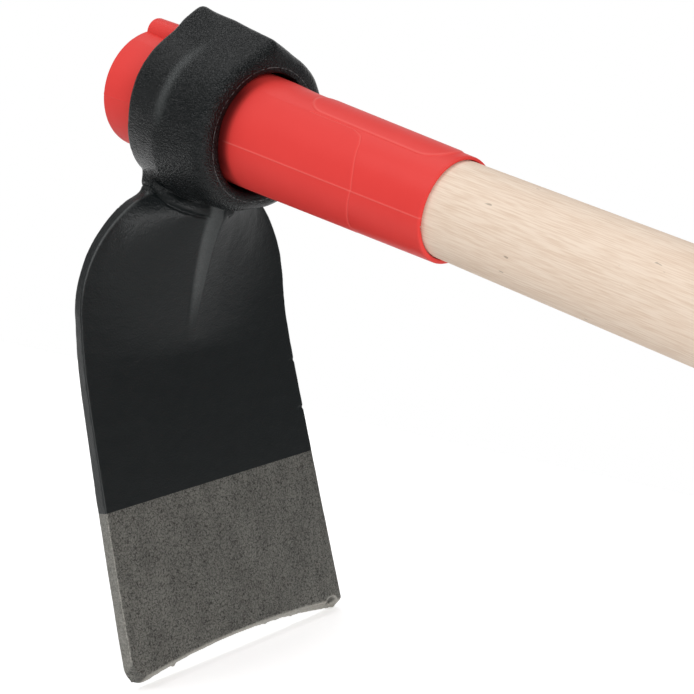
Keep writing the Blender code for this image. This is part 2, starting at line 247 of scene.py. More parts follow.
def arc(centre, radius, start, end, steps):
    """Points on an arc, both ends included, angles in radians."""
    turn = (end - start) / steps
    return [
        (
            centre[0] + radius * math.cos(start + turn * step),
            centre[1] + radius * math.sin(start + turn * step),
        )
        for step in range(steps + 1)
    ]


def rounded_outline(corners, steps):
    """A closed outline from (y, z, rounding) corners, each corner rounded by an arc."""
    outline = []
    for index, (y, z, rounding) in enumerate(corners):
        here = Vector((y, z))
        before = Vector(corners[index - 1][:2]) - here
        after = Vector(corners[(index + 1) % len(corners)][:2]) - here
        half = before.angle(after) / 2
        reach = rounding / math.tan(half)
        inward = (before.normalized() + after.normalized()).normalized()
        centre = here + inward * (rounding / math.sin(half))
        first = here + before.normalized() * reach - centre
        last = here + after.normalized() * reach - centre
        sweep = first.angle_signed(last)
        for step in range(steps + 1):
            outline.append(centre + Matrix.Rotation(-sweep * step / steps, 2) @ first)
    return outline


def smooth_step(value, low, high):
    """0 below low, 1 above high and an S between them, on numbers or arrays."""
    share = np.clip((value - low) / (high - low), 0.0, 1.0)
    return share * share * (3.0 - 2.0 * share)


def bell(distance, width):
    """1 where the distance is 0, falling off on both sides over about the width."""
    return np.exp(-((distance / width) ** 2))


def coordinates(mesh, items="vertices", what="co"):
    """A row of x, y and z for each of the mesh's points."""
    found = np.empty(len(mesh.vertices) * 3)
    getattr(mesh, items).foreach_get(what, found)
    return found.reshape(-1, 3)


def move_points(mesh, points):
    mesh.vertices.foreach_set("co", points.ravel())
    mesh.update()


def smooth_shaded(piece):
    """Shades the turned piece smooth, apart from its creases."""
    piece.data.shade_smooth()
    piece.data.set_sharp_from_angle(angle=SHARP_ANGLE)
    return piece


def waviness(points, feature, seed):
    """Smooth noise from about -1 to 1 whose swells are one feature apart."""
    offset = Vector((seed * 7.31, seed * 3.17, seed * 5.83))
    return np.array([noise.noise(Vector(point) / feature + offset) for point in points])


def distance_to_path(points, path):
    """Shortest distance from each point to a line through the path's points."""
    nearest = np.full(len(points), np.inf)
    for start, end in zip(path, path[1:]):
        start, end = np.array(start), np.array(end)
        run = end - start
        share = np.clip(((points - start) @ run) / (run @ run), 0.0, 1.0)
        nearest = np.minimum(nearest, np.linalg.norm(points - start - share[:, None] * run, axis=1))
    return nearest


# The forged head


def eye_corners(along, inset):
    """The eye's outline at a place along it, moved inwards by inset to round the edge of a face."""
    share = -along / EYE_LENGTH
    swell = EYE_DRAFT * min(share / EYE_RIDGE_PLACE, (1.0 - share) / (1.0 - EYE_RIDGE_PLACE))
    peak = EYE_PEAK_FRONT + (EYE_PEAK_BACK - EYE_PEAK_FRONT) * share + swell / 4
    slope = math.atan2(peak - EYE_SHOULDER, EYE_HALF_WIDTH)
    side = EYE_HALF_WIDTH + swell - inset
    floor = EYE_FLOOR + swell / 2 - inset
    top = peak - inset / math.cos(slope)
    shoulder = top - side * math.tan(slope)
    return [
        (0.0, top, max(EYE_PEAK_ROUNDING - inset, FACE_GAP)),
        (side, shoulder, EYE_SHOULDER_ROUNDING - inset),
        (side, -floor, EYE_FLOOR_ROUNDING - inset),
        (-side, -floor, EYE_FLOOR_ROUNDING - inset),
        (-side, shoulder, EYE_SHOULDER_ROUNDING - inset),
    ]


def eye_sections():
    """(place along, inset) from the back face to the front face, with both faces' edges rounded."""
    quarter = math.pi / 2
    centre = (EYE_BACK + EYE_BACK_EDGE, EYE_BACK_EDGE)
    back = arc(centre, EYE_BACK_EDGE, -math.pi, -quarter, EYE_EDGE_STEPS)
    centre = (-EYE_FRONT_EDGE, EYE_FRONT_EDGE)
    front = arc(centre, EYE_FRONT_EDGE, -quarter, 0.0, EYE_EDGE_STEPS)
    return [*back, (EYE_RIDGE_X, 0.0), *front]


def eye_blank():
    """The eye without its bore, bridged from one rounded section to the next."""
    bm = bmesh.new()
    loops = []
    for along, inset in eye_sections():
        outline = rounded_outline(eye_corners(along, inset), EYE_CORNER_STEPS)
        ring = [bm.verts.new((along, y, z)) for y, z in outline]
        loops.append([bm.edges.new(pair) for pair in zip(ring, ring[1:] + ring[:1])])
    for first, second in zip(loops, loops[1:]):
        bmesh.ops.bridge_loops(bm, edges=first + second)
    ends = [edge for loop in (loops[0], loops[-1]) for edge in loop]
    bmesh.ops.holes_fill(bm, edges=ends, sides=0)
    return add_piece("eye_blank", bm, UPRIGHT)


def bore_cutter():
    """Cuts the round bore, widened at the mouth and eased at the back, where the sleeve jams."""
    mouth = [
        (MOUTH_DEPTH * (deep - 1.0), BORE_RADIUS + MOUTH_WIDTH * (1.0 + wide))
        for deep, wide in arc((0.0, 0.0), 1.0, -math.pi / 2, 0.0, MOUTH_STEPS)
    ]
    profile = [
        (EYE_BACK - CUTTER_REACH, 0.0),
        (EYE_BACK - CUTTER_REACH, BORE_RADIUS + BACK_CHAMFER),
        (EYE_BACK, BORE_RADIUS + BACK_CHAMFER),
        (EYE_BACK + BACK_CHAMFER, BORE_RADIUS),
        *mouth,
        (CUTTER_REACH, BORE_RADIUS + MOUTH_WIDTH),
        (CUTTER_REACH, 0.0),
    ]
    bm = turned(profile, TURNED_STEPS)
    for vert in bm.verts:
        if -MOUTH_DEPTH - FACE_GAP < vert.co.x < 0.0:
            low = max(-vert.co.z / vert.co.yz.length, 0.0)
            vert.co.x *= 1.0 + (MOUTH_LOW_DEPTH / MOUTH_DEPTH - 1.0) * low**2
    return add_piece("eye_bore", bm, UPRIGHT)


def key_block(back, front, half_width, top):
    """A bar with a rounded top along the peak, its foot sunk in what it joins."""
    foot = (HANDLE_RADIUS + SLEEVE_FAR_RADIUS) / 2
    corners = [
        (-half_width, foot, KEY_ROUNDING / 10),
        (half_width, foot, KEY_ROUNDING / 10),
        (half_width, top, KEY_ROUNDING),
        (-half_width, top, KEY_ROUNDING),
    ]
    outline = rounded_outline(corners, KEY_CORNER_STEPS)
    bm = bmesh.new()
    face = bm.faces.new([bm.verts.new((back, y, z)) for y, z in outline])
    extruded = bmesh.ops.extrude_face_region(bm, geom=[face])["geom"]
    moved = [item for item in extruded if isinstance(item, bmesh.types.BMVert)]
    bmesh.ops.translate(bm, vec=(front - back, 0.0, 0.0), verts=moved)
    return bm


def keyway_cutter():
    front = EYE_BACK + KEY_FRONT_LENGTH + KEYWAY_CLEARANCE
    half_width = KEY_HALF_WIDTH + KEYWAY_CLEARANCE
    top = KEY_TOP + KEYWAY_CLEARANCE
    block = key_block(EYE_BACK - CUTTER_REACH, front, half_width, top)
    return add_piece("eye_keyway", block, UPRIGHT)


def outline_rows(draft):
    """(distance down from the bend's top, half width) down to where the straight sides start."""
    radius = SHOULDER_RADIUS - draft
    fillet_centre = NECK_HALF_WIDTH + NECK_FILLET
    shoulder_centre = BLADE_SHOULDER_HALF_WIDTH - SHOULDER_RADIUS
    across = fillet_centre - shoulder_centre
    reach = radius + NECK_FILLET
    meet = math.asin(across / reach)
    fillet_place = SHOULDER_PLACE - math.sqrt(reach**2 - across**2)
    neck_length = fillet_place + NECK_INTO_EYE
    rows = []
    for row in range(NECK_ROWS):
        rows.append((-NECK_INTO_EYE + neck_length * row / NECK_ROWS, NECK_HALF_WIDTH))
    for row in range(FILLET_ROWS):
        angle = (math.pi / 2 - meet) * row / FILLET_ROWS
        down = fillet_place + NECK_FILLET * math.sin(angle)
        rows.append((down, fillet_centre - NECK_FILLET * math.cos(angle)))
    for row in range(SHOULDER_ROWS + 1):
        angle = meet + (math.pi / 2 - meet) * row / SHOULDER_ROWS
        down = SHOULDER_PLACE - radius * math.cos(angle)
        rows.append((down, shoulder_centre + radius * math.sin(angle)))
    return rows


def running_sum(slopes):
    """How far something that changes by those slopes has come at each step down the sheet."""
    return np.concatenate([[0.0], np.cumsum(slopes)[:-1]]) * BEND_STEP


def eased_bend():
    """Distance, lean, x and z down the sheet, the bend running out softly into the straight blade."""
    down = np.arange(0.0, SHEET_REACH, BEND_STEP)
    bending = 1.0 - smooth_step(down, BLADE_BEND_LENGTH - BEND_EASE, BLADE_BEND_LENGTH + BEND_EASE)
    lean = running_sum(bending) / BLADE_BEND_RADIUS
    lean *= BLADE_LEAN / lean[-1]
    return down, lean, running_sum(np.sin(lean)), running_sum(np.cos(lean))


BEND = eased_bend()


def sheet_frame(down):
    """Point and front normal, in x and z, of the blade's front sheet at a distance down it."""
    lean, x, z = (float(np.interp(down, BEND[0], column)) for column in BEND[1:])
    z += min(down, 0.0)
    place = Vector((EYE_BACK + BLADE_INSET + BLADE_THICKNESS + x, 0.0, -BLADE_BEND_TOP - z))
    return place, Vector((math.cos(lean), 0.0, math.sin(lean)))


def edge_place(across, depth):
    """Distance down to the cutting edge, hollow in the middle, cut at a slant, most at the corners.

    depth is 0 on the blade's front and 1 on its back."""
    slant = EDGE_BEVEL + EDGE_FLARE * across**2
    return BLADE_END + EDGE_HOLLOW * across**2 - slant * (1.0 - depth)


def neck_swell(down, across):
    """How far the thick neck, spreading out over the blade, stands in front of the sheet."""
    share = np.clip(down / NECK_SPREAD_LENGTH, 0.0, 1.0)
    crown = NECK_HEIGHT * (1.0 - share) * (1.0 - share**6)
    return crown * np.maximum(1.0 - across**2, 0.0) ** (1.4 + share)


def rib_swell(down, offset):
    """The rib down the neck's middle: steep on the left, running out flat on the right."""
    share = np.clip(down / RIB_LENGTH, 0.0, 1.0)
    reach = np.where(offset < 0.0, RIB_HALF_WIDTH, RIB_FLAT_SIDE)
    roof = np.maximum(1.0 - np.hypot(offset, RIB_CREST_WEAR) / reach, 0.0)
    return RIB_HEIGHT * (1.0 - share**3) * np.where(offset < 0.0, roof, roof**1.5)


def side_bow(side, share):
    """How far the blade's sides stand outside straight lines, share being 1 at the cutting edge."""
    left = LEFT_BOW * np.sin(math.pi * share)
    return np.where(side < 0.0, left, RIGHT_STEP + RIGHT_FLARE * share**3)


def blade_point(rows, row, along_row, behind):
    """A point of the blade's front or back: row from the neck down, along_row from -1 to 1."""
    across = along_row * (1.5 - 0.5 * along_row**2)  # crowds the columns at the blade's sides
    share = 0.0
    if row < len(rows):
        down, half_width = rows[row]
    else:
        start, straight_width = rows[-1]
        share = (row - len(rows) + 1) / STRAIGHT_ROWS
        down = start + (edge_place(across, float(behind)) - start) * share
        half_width = straight_width + (BLADE_EDGE_HALF_WIDTH - straight_width) * share
    below_neck = smooth_step(half_width, NECK_HALF_WIDTH, NECK_HALF_WIDTH + BOW_RISE)
    half_width += float(side_bow(across, share) * below_neck)
    point, normal = sheet_frame(down)
    height = -BLADE_THICKNESS
    if not behind:
        height = float(neck_swell(down, across) + rib_swell(down, across * half_width))
    return point + normal * height + Vector((0.0, across * half_width, 0.0))


def blade_blank():
    """The neck and blade: a grid laid over the front sheet, then thickened to the back."""
    front_rows = outline_rows(0.0)
    back_rows = outline_rows(SHOULDER_DRAFT)
    last_row = len(front_rows) + STRAIGHT_ROWS - 1
    bm = bmesh.new()
    bmesh.ops.create_grid(bm, x_segments=BLADE_COLUMNS, y_segments=last_row, size=1.0)
    front = list(bm.verts)
    extruded = bmesh.ops.extrude_face_region(bm, geom=list(bm.faces))["geom"]
    back = [item for item in extruded if isinstance(item, bmesh.types.BMVert)]
    for verts, rows, behind in ((front, front_rows, False), (back, back_rows, True)):
        for vert in verts:
            row = round((1.0 - vert.co.y) / 2.0 * last_row)
            vert.co = blade_point(rows, row, vert.co.x, behind)
    return add_piece("hoe_head", bm, UPRIGHT)


def blade_places(points):
    """Each point's distance down the bent sheet and its height in front of it."""
    down = -BLADE_BEND_TOP - points[:, 2]
    for _ in range(4):
        lean, x, z = (np.interp(down, BEND[0], column) for column in BEND[1:])
        from_x = points[:, 0] - (EYE_BACK + BLADE_INSET + BLADE_THICKNESS + x)
        from_z = points[:, 2] + BLADE_BEND_TOP + z + np.minimum(down, 0.0)
        height = from_x * np.cos(lean) + from_z * np.sin(lean)
        down = down + from_x * np.sin(lean) - from_z * np.cos(lean)
    return down, height


def rounded_corner(first, second, radius):
    """Distance from two faces' joint outside, from the distances to each, their edge rounded."""
    outside = np.hypot(np.maximum(first + radius, 0.0), np.maximum(second + radius, 0.0))
    return outside + np.minimum(np.maximum(first, second) + radius, 0.0) - radius


def blade_faces(points):
    """How far each point is outside the blade's outline, its cut lower face and its front."""
    down, height = blade_places(points)
    side = points[:, 1]
    depth = np.clip(-height / BLADE_THICKNESS, 0.0, 1.0)
    centre = BLADE_SHOULDER_HALF_WIDTH - SHOULDER_RADIUS
    radius = SHOULDER_RADIUS - SHOULDER_DRAFT * depth
    above = np.minimum(down - SHOULDER_PLACE, 0.0)
    share = (down - SHOULDER_PLACE) / (BLADE_END + EDGE_HOLLOW - SHOULDER_PLACE)
    share = np.clip(share, 0.0, 1.0)
    spread = (BLADE_EDGE_HALF_WIDTH - BLADE_SHOULDER_HALF_WIDTH) * share + side_bow(side, share)
    spread += SHOULDER_DRAFT * depth * share
    outline = np.hypot(above, np.abs(side) - centre - spread) - radius
    across = side / BLADE_EDGE_HALF_WIDTH
    slope = math.hypot(EDGE_BEVEL, BLADE_THICKNESS) / BLADE_THICKNESS
    edge = (down - edge_place(across, depth)) / slope
    half_width = centre + spread + np.sqrt(np.maximum(radius**2 - above**2, 0.0))
    front = neck_swell(down, side / np.maximum(half_width, NECK_HALF_WIDTH))
    front = height - front - rib_swell(down, side)
    return outline, edge, front


def blade_distance(points):
    """How far each point is outside the finished blade, below its neck."""
    outline, edge, front = blade_faces(points)
    height = blade_places(points)[1]
    corner = np.where(points[:, 1] < 0.0, LEFT_CORNER_ROUNDING, RIGHT_CORNER_ROUNDING)
    outline = rounded_corner(outline, edge, corner)
    return rounded_corner(outline, np.maximum(front, -BLADE_THICKNESS - height), BLADE_WEAR)


def fit_to_blade(points):
    """Draws the points of the remeshed head that lie below the neck onto the true blade."""
    down = blade_places(points)[0]
    wide = smooth_step(np.abs(points[:, 1]), 0.029, 0.034) * smooth_step(down, 0.0, 0.004)
    share = np.maximum(wide, smooth_step(down, 0.006, 0.016))
    for _ in range(4):
        here = blade_distance(points)
        beside = [blade_distance(points + SLOPE_STEP * axis) for axis in np.eye(3)]
        pull = (np.stack(beside, axis=1) - here[:, None]) / SLOPE_STEP
        pull /= np.maximum(np.linalg.norm(pull, axis=1), 0.5)[:, None]
        near = np.clip(here, -FIT_REACH, FIT_REACH)
        points = points - pull * (near * share)[:, None]
    return points


def fit_to_eye(points):
    """Draws the remeshed bore back to its true radius, clear of the keyway and of the mouth."""
    radius = np.hypot(points[:, 1], points[:, 2])
    in_bore = (points[:, 0] > EYE_BACK + BACK_CHAMFER) & (points[:, 0] < -MOUTH_LOW_DEPTH)
    key_side = (points[:, 2] > 0.0) & (np.abs(points[:, 1]) < KEY_HALF_WIDTH + 0.0020)
    near = in_bore & ~key_side & (np.abs(radius - BORE_RADIUS) < FIT_REACH)
    scale = np.where(near, BORE_RADIUS / np.maximum(radius, FACE_GAP), 1.0)
    return points * np.stack([np.ones_like(scale), scale, scale], axis=1)


def neck_seam(points):
    """1 where the neck grows out of the eye's underside, falling to 0 away from there."""
    floor = -EYE_FLOOR
    seam = [
        (EYE_BACK, -NECK_HALF_WIDTH, floor),
        (-0.0300, -NECK_HALF_WIDTH, floor),
        (-0.0215, -0.0140, floor - 0.0010),
        (-0.0190, 0.0, floor - 0.0015),
        (-0.0215, 0.0140, floor - 0.0010),
        (-0.0300, NECK_HALF_WIDTH, floor),
        (EYE_BACK, NECK_HALF_WIDTH, floor),
    ]
    away = distance_to_path(points, seam)
    return 1.0 - smooth_step(away, 0.3 * SEAM_REACH, SEAM_REACH)


def fold_relief(points, height):
    """The neck's round underside, which the dies pressed out over the blade, and the fold below it."""
    across = np.abs(points[:, 1])
    ragged = 0.00025 * waviness(points, 0.0014, 5)
    above = points[:, 2] - np.interp(across, *FOLD_LINE) + ragged
    front = smooth_step(height, -0.0072, -0.0055) * (1.0 - smooth_step(points[:, 2], -0.028, -0.024))
    middle = 1.0 - smooth_step(across, 0.0165, 0.0240)
    lip = smooth_step(above, -0.0002, 0.0012) * (1.0 - smooth_step(above, 0.0025, 0.0100))
    fold = bell(above + 0.0004, 0.0005)
    front *= smooth_step(across, 0.0030, 0.0062)  # the rib runs through both
    return front * (FOLD_LIP * (0.35 + 0.65 * middle) * lip - 0.0006 * fold)


def pit_distance(down, side):
    """Distance from the middle of the oval pit near the blade's right lower corner."""
    return np.hypot((side - PIT_SIDE) / 1.35, down - PIT_DOWN)


def edge_marks(points, down, height, edge):
    """What the shears and the forge left along the blade's edges: burrs, nicks and a pit."""
    side = points[:, 1]
    depth = np.clip(-height / BLADE_THICKNESS, 0.0, 1.0)
    near_edge = bell(edge, 0.0016)
    relief = 0.00022 * near_edge * waviness(points, 0.0028, 4)
    for place, rise in CUT_BURRS:
        burr = bell(side - place, 0.0010) * smooth_step(depth, 0.6, 0.9)
        relief += rise * burr * near_edge
    for place, dent in SIDE_NICKS:
        nick = bell(down - place, 0.0008) * smooth_step(side, 0.0565, 0.0590)
        relief -= dent * nick
    from_pit = pit_distance(down, side)
    pit = 0.0015 * bell(from_pit, 0.0019) - 0.0003 * bell(from_pit - 0.0029, 0.0007)
    return relief - pit * (height > -BLADE_THICKNESS / 2)


def forged_relief(points):
    """How far the hammer and the dies left each point of the head proud of its plain shape."""
    down, height = blade_places(points)
    on_blade = smooth_step(down, 0.055, 0.080)
    bare = smooth_step(down, PAINT_END - 0.001, PAINT_END + 0.001)
    relief = 0.00022 * waviness(points, 0.016, 1) * (1.0 - 0.6 * on_blade)
    relief += 0.00010 * waviness(points, 0.0055, 2) * (1.0 - 0.5 * bare)
    relief += 0.00003 * waviness(points, 0.0020, 3)
    relief += fold_relief(points, height)
    for side, drop in PEAK_HUMPS:
        peak = np.array((EYE_BACK + 0.0010, side, EYE_PEAK_BACK - drop))
        relief += PEAK_HUMP * bell(np.linalg.norm(points - peak, axis=1), PEAK_HUMP_RADIUS)
    edge = blade_faces(points)[1]
    return relief + on_blade * edge_marks(points, down, height, edge)


def painted_highlight_places(points):
    """Painted highlights in grey on the lacquer: along the rib's left flank, the eye's ridge and the
    rims, and a little on the blade's sides.
    """
    down, height = blade_places(points)
    side, z = points[:, 1], points[:, 2]
    foot = np.interp(z, [-0.0990, -0.0420], [-0.0030, -0.0058])
    rib = smooth_step(side, 1.2 * foot, 0.75 * foot) * (1.0 - smooth_step(side, -0.0003, 0.0005))
    rib *= 1.0 - 0.3 * smooth_step(side, 0.7 * foot, 0.2 * foot)
    rib *= smooth_step(z, -0.1020, -0.0700) * (1.0 - smooth_step(z, -0.0365, -0.0345))
    rib *= smooth_step(height, -0.002, 0.0)
    ridge = bell(points[:, 0] - EYE_RIDGE_X - 0.0010, 0.0024)
    ridge *= smooth_step(z, -0.004, 0.010) * (1.0 - smooth_step(z, 0.024, 0.036))
    ridge *= smooth_step(np.abs(side), 0.008, 0.016)
    outline, _, front = blade_faces(points)
    rim = bell(np.hypot(outline + 0.0002, front + 0.0002), 0.0004)
    rim *= smooth_step(down, -0.012, -0.006) * (1.0 - 0.9 * smooth_step(down, 0.018, 0.040))
    sides = smooth_step(outline, -0.0009, -0.0002) * smooth_step(down, 0.030, 0.060)
    return np.clip(0.82 * rib + 0.6 * ridge + rim + 0.15 * sides, 0.0, 1.0)


def sheared_places(points):
    """Where the shears cut the blade after forging: all of its lower face, and its bare sides. Their
    brightness is partly painted light from below.
    """
    down = blade_places(points)[0]
    outline, edge, _ = blade_faces(points)
    cut = smooth_step(edge, -0.0011, -0.0003)
    sides = smooth_step(outline, -0.0009, -0.0002) * smooth_step(down, 0.100, 0.110)
    from_pit = pit_distance(down, points[:, 1])
    pit_rim = bell(from_pit - 0.0026, 0.0005) * (edge < -0.0008)
    return np.maximum(np.maximum(cut, 0.28 * sides), 0.8 * pit_rim)


def forged_blank():
    """Neck, blade and eye in one, cut out and remeshed, with the joint of eye and neck rounded."""
    head = blade_blank()
    helpers = [eye_blank(), bore_cutter(), keyway_cutter()]
    for helper, operation in zip(helpers, ("UNION", "DIFFERENCE", "DIFFERENCE")):
        add_modifier(head, "BOOLEAN", operation=operation, object=helper, solver="EXACT")
    add_modifier(head, "REMESH", mode="VOXEL", voxel_size=FORGED_VOXEL)
    add_modifier(head, "SMOOTH", factor=0.5, iterations=4)
    settle_modifiers(head, helpers)
    head.data.transform(UPRIGHT.inverted())
    seam = head.vertex_groups.new(name="neck_seam")
    weights = neck_seam(coordinates(head.data))
    for index in np.flatnonzero(weights):
        seam.add([int(index)], float(weights[index]), "REPLACE")
    add_modifier(head, "SMOOTH", factor=0.6, iterations=SEAM_PASSES, vertex_group="neck_seam")
    settle_modifiers(head)
    head.vertex_groups.clear()
    return head


def part_at_paint_line(mesh):
    """Cuts the faces along the lacquer's end, and gives those below it the second material."""
    bm = bmesh.new()
    bm.from_mesh(mesh)
    line = sheet_frame(PAINT_END)[0]
    down = Vector((math.sin(BLADE_LEAN), 0.0, -math.cos(BLADE_LEAN)))
    bmesh.ops.bisect_plane(
        bm, geom=[*bm.verts, *bm.edges, *bm.faces], plane_co=line, plane_no=down, dist=1e-6
    )
    for face in bm.faces:
        face.smooth = True
        face.material_index = int((face.calc_center_median() - line).dot(down) > 0.0)
    bm.to_mesh(mesh)
    bm.free()


def make_head():
    head = forged_blank()
    points = fit_to_eye(fit_to_blade(coordinates(head.data)))
    move_points(head.data, points)
    normals = coordinates(head.data, "vertex_normals", "vector")
    move_points(head.data, points + normals * forged_relief(points)[:, None])
    head.data.calc_loop_triangles()
    share = min(HEAD_FACES / len(head.data.loop_triangles), 1.0)
    add_modifier(head, "DECIMATE", ratio=share, use_collapse_triangulate=True)
    settle_modifiers(head)
    part_at_paint_line(head.data)
    points = coordinates(head.data)
    # painted highlights: grey on the lacquer along the rib, the eye's ridge and the rims
    add_layer(head, "painted_highlight", painted_highlight_places(points))
    # bright fresh-cut steel, partly painted light
    add_layer(head, "sheared", sheared_places(points))
    head.data.transform(STANCE)
    return head


# The sleeve and the handle


def sleeve_radius(along):
    return SLEEVE_FAR_RADIUS - SLEEVE_TAPER * (along - SLEEVE_FAR)


SLEEVE_SLIMMER = 0.00050
FAR_SWELL = 0.0003
PANEL_LEFT = 0.0268
PANEL_RIGHT = 0.0985
PANEL_HALF_WIDTH = 0.0109
PANEL_RISE = 0.0004
PANEL_EDGE = 0.0013  # from the crisp foot of the panel's edge in to its rounded crest
PARTING_ANGLE = math.radians(92.0)
SLEEVE_GIRTH = 0.0222  # the sleeve's radius at its middle, to turn angles into distances
CROWDS = ((28.5, 1.6), (24.5, 2.0), (30.2, 1.2), (92.0, 1.6))  # (degrees from the top, width)

ZONE_LINE = [  # (place along, degrees up from the side) of the line between two mould inserts
    (0.0330, 60.0),
    (0.0560, 60.0),
    (0.0588, 58.0),
    (0.0614, 55.0),
    (0.0635, 47.0),
    (0.0646, 38.0),
    (0.0673, 18.0),
    (0.0688, 0.0),
    (0.0672, -24.0),
    (0.0640, -57.0),
    (0.0620, -90.0),
]


def degrees_up(around):
    """Degrees up from the sleeve's side line, from the angle from its top line."""
    return 90.0 - np.degrees(np.abs(around))


def crowded_angles(around):
    """Moves evenly spun angles together where the panel's edge, the zone line and the parting are."""
    angle = np.linspace(0.0, math.pi, 2001)
    crowd = np.ones_like(angle)
    for middle, width in CROWDS:
        crowd += 3.5 * bell(np.degrees(angle) - middle, width)
    place = np.concatenate([[0.0], np.cumsum(crowd)[:-1]])
    place *= math.pi / place[-1]
    return np.sign(around) * np.interp(np.abs(around), place, angle)


def panel_rise(along, around):
    """The raised panel along the sleeve's top, round at its ends. around is 0 on the top line."""
    inside = np.clip(panel_depth(along, around) / PANEL_EDGE, 0.0, 1.0)
    return PANEL_RISE * np.sqrt(1.0 - (1.0 - inside) ** 2)


def panel_depth(along, around):
    """How far inside the panel's foot line each point is."""
    across = np.abs(around) * sleeve_radius(along)
    left = PANEL_LEFT + PANEL_HALF_WIDTH
    right = PANEL_RIGHT - PANEL_HALF_WIDTH
    beyond = np.maximum(left - along, 0.0) + np.maximum(along - right, 0.0)
    return PANEL_HALF_WIDTH - np.hypot(beyond, across)


def pale_lines_and_highlights(along, around):
    """1 on fine pale lines: the flash where the mould's halves met, and painted highlights on the zone
    line's step and along the panel's edge.
    """
    lines = 0.38 * bell(parting_distance(around), 0.00025)
    lines += 0.22 * bell(zone_distance(along, around), 0.0003)
    lines += 0.24 * bell(panel_depth(along, around) - 0.0006, 0.0005)
    return np.clip(lines * (along > 0.0), 0.0, 1.0)


def painted_mouth_shade_places(along, around, radius):
    """1 on a soft band of painted shade on the sleeve beside the eye's mouth: none along the top, full
    on its sides, half underneath.
    """
    band = smooth_step(along, -0.0130, -0.0040) * (1.0 - smooth_step(along, -0.0002, 0.0044))
    outside = radius > HANDLE_RADIUS + FACE_GAP + 0.0004
    turn = np.degrees(np.abs(around))
    sides = smooth_step(turn, 5.0, 50.0) * (1.0 - 0.5 * smooth_step(turn, 115.0, 140.0))
    return 0.85 * band * sides * outside


def parting_distance(around):
    """Distance round the sleeve from the line where the mould's two halves meet."""
    return np.abs(np.abs(around) - PARTING_ANGLE) * SLEEVE_GIRTH


def zone_distance(along, around):
    """Distance from the line where the rough and the smooth mould inserts meet."""
    scale = math.radians(1.0) * SLEEVE_GIRTH
    points = np.stack([along, degrees_up(around) * scale, np.zeros_like(along)], axis=1)
    return distance_to_path(points, [(x, angle * scale, 0.0) for x, angle in ZONE_LINE])


def in_rough_zone(along, around):
    """1 beside the eye, where the mould's spark erosion was left rough, and 0 towards the rim."""
    line = sorted((angle, x) for x, angle in ZONE_LINE[1:])
    end = np.interp(degrees_up(around), *zip(*line))
    return ((along < end) & (degrees_up(around) < 60.0)).astype(np.float32)


def sleeve_relief(along, around):
    """What the mould adds to the plain cone. around is the angle from the top line."""
    relief = panel_rise(along, around)
    # outside the eye the upper half, where the mould opens, is a hair slimmer
    upper = smooth_step(np.cos(around), -0.3, 0.3)
    relief -= SLEEVE_SLIMMER * upper * smooth_step(along, 0.004, 0.020)
    relief += FAR_SWELL * (1.0 - smooth_step(along, -0.0680, -0.0560))
    relief -= 0.00022 * bell(zone_distance(along, around), 0.00032)
    relief += 0.00006 * in_rough_zone(along, around)
    return relief + 0.00014 * bell(parting_distance(around), 0.00028)


def sleeve_profile():
    """Outside from the far cap to the near rim, then back along the socket that the handle fills."""
    socket = HANDLE_RADIUS + FACE_GAP
    socket_floor = SLEEVE_FAR + SLEEVE_CAP
    far = sleeve_radius(SLEEVE_FAR)
    profile = [(SLEEVE_FAR, far * share) for share in (0.0, 0.3, 0.6, 0.85)]
    centre = (SLEEVE_FAR + CAP_ROUNDING, far - CAP_ROUNDING)
    profile += arc(centre, CAP_ROUNDING, math.pi, math.pi / 2, 4)
    stretches = [  # (start, end, pitch of the rings), finest where the zone line runs round
        (SLEEVE_FAR + CAP_ROUNDING, 0.026, 0.0014),
        (0.026, 0.0390, 0.0005),
        (0.0390, 0.0555, 0.0014),
        (0.0555, 0.0695, 0.00022),
        (0.0695, 0.0870, 0.0014),
        (0.0870, SLEEVE_NEAR - RIM_CHAMFER, 0.0005),
    ]
    for start, end, pitch in stretches:
        rings = max(round((end - start) / pitch), 1)
        for ring in range(1, rings + 1):
            along = start + (end - start) * ring / rings
            profile.append((along, sleeve_radius(along)))
    near = sleeve_radius(SLEEVE_NEAR)
    profile += [
        (SLEEVE_NEAR - 0.3 * RIM_CHAMFER, near - 0.3 * RIM_CHAMFER),
        (SLEEVE_NEAR, near - RIM_CHAMFER),
        (SLEEVE_NEAR, (near - RIM_CHAMFER + socket) / 2),
        (SLEEVE_NEAR, socket + SOCKET_CHAMFER),
        (SLEEVE_NEAR - SOCKET_CHAMFER, socket),
        (socket_floor, socket),
        (socket_floor, 0.0),
    ]
    return profile


